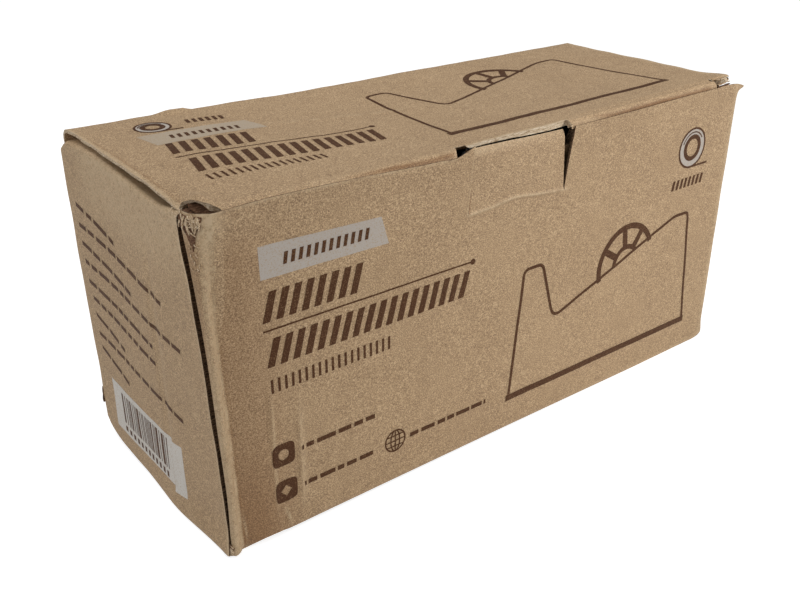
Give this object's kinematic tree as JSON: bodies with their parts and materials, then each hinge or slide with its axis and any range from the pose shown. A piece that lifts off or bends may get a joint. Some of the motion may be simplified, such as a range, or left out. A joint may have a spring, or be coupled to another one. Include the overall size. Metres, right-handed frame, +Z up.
{
  "type": "tape dispenser in its carton",
  "caption": "Closed corrugated kraft carton with a hinged lid, tuck flap and front lock tab, holding a weighted desk tape dispenser with a turning core wheel.",
  "frame": {"origin": "centre of the carton's underside", "axes": "+X along the carton's length, the printed front faces -Y, +Z up"},
  "size_m": [0.285, 0.111, 0.1381],
  "materials": {
    "kraft_board": "matte",
    "body_plastic": "satin",
    "foam_rubber": "matte",
    "ballast": "matte",
    "wheel_plastic": "satin",
    "spindle_plastic": "satin",
    "steel": "satin"
  },
  "bodies": {
    "carton": {"carton_base": "kraft_board", "carton_front": "kraft_board", "carton_back": "kraft_board", "left_end_outer": "kraft_board", "left_end_inner": "kraft_board", "right_end_outer": "kraft_board", "right_end_inner": "kraft_board", "front_left_ear": "kraft_board", "front_right_ear": "kraft_board", "back_left_ear": "kraft_board", "back_right_ear": "kraft_board", "front_side_shell": "body_plastic", "back_side_shell": "body_plastic", "centre_frame": "body_plastic", "base_tray": "body_plastic", "non_slip_pad": "foam_rubber", "ballast_slab": "ballast", "tray_screws": "steel", "axle_rod": "steel", "tape_rest": "wheel_plastic", "cutter_blade": "steel", "blade_screws": "steel"},
    "lid": {"lid_panel": "kraft_board"},
    "tuck": {"tuck_flap": "kraft_board"},
    "tab": {"lock_tab": "kraft_board"},
    "core": {"core_wheel": "wheel_plastic", "core_spindle": "spindle_plastic"}
  },
  "joints": [
    {"name": "lid_hinge", "type": "hinge", "parent": "carton", "child": "lid", "pos_m": [0, 0.054, 0.13661], "axis": [-1, 0, 0], "range_deg": [0, 180]},
    {"name": "tuck_crease", "type": "hinge", "parent": "lid", "child": "tuck", "pos_m": [0, -0.0507, 0.13331], "axis": [-1, 0, 0], "range_deg": [0, 60]},
    {"name": "tab_crease", "type": "hinge", "parent": "carton", "child": "tab", "pos_m": [0.001, -0.054, 0.11131], "axis": [1, 0, 0], "range_deg": [0, 80]},
    {"name": "core_spin", "type": "hinge", "parent": "carton", "child": "core", "pos_m": [0.0195, 0, 0.09411], "axis": [0, 1, 0], "continuous": true}
  ],
  "couplings": [
    {"joint": "tuck_crease", "follows": "lid_hinge", "ratio": 0.33333}
  ]
}
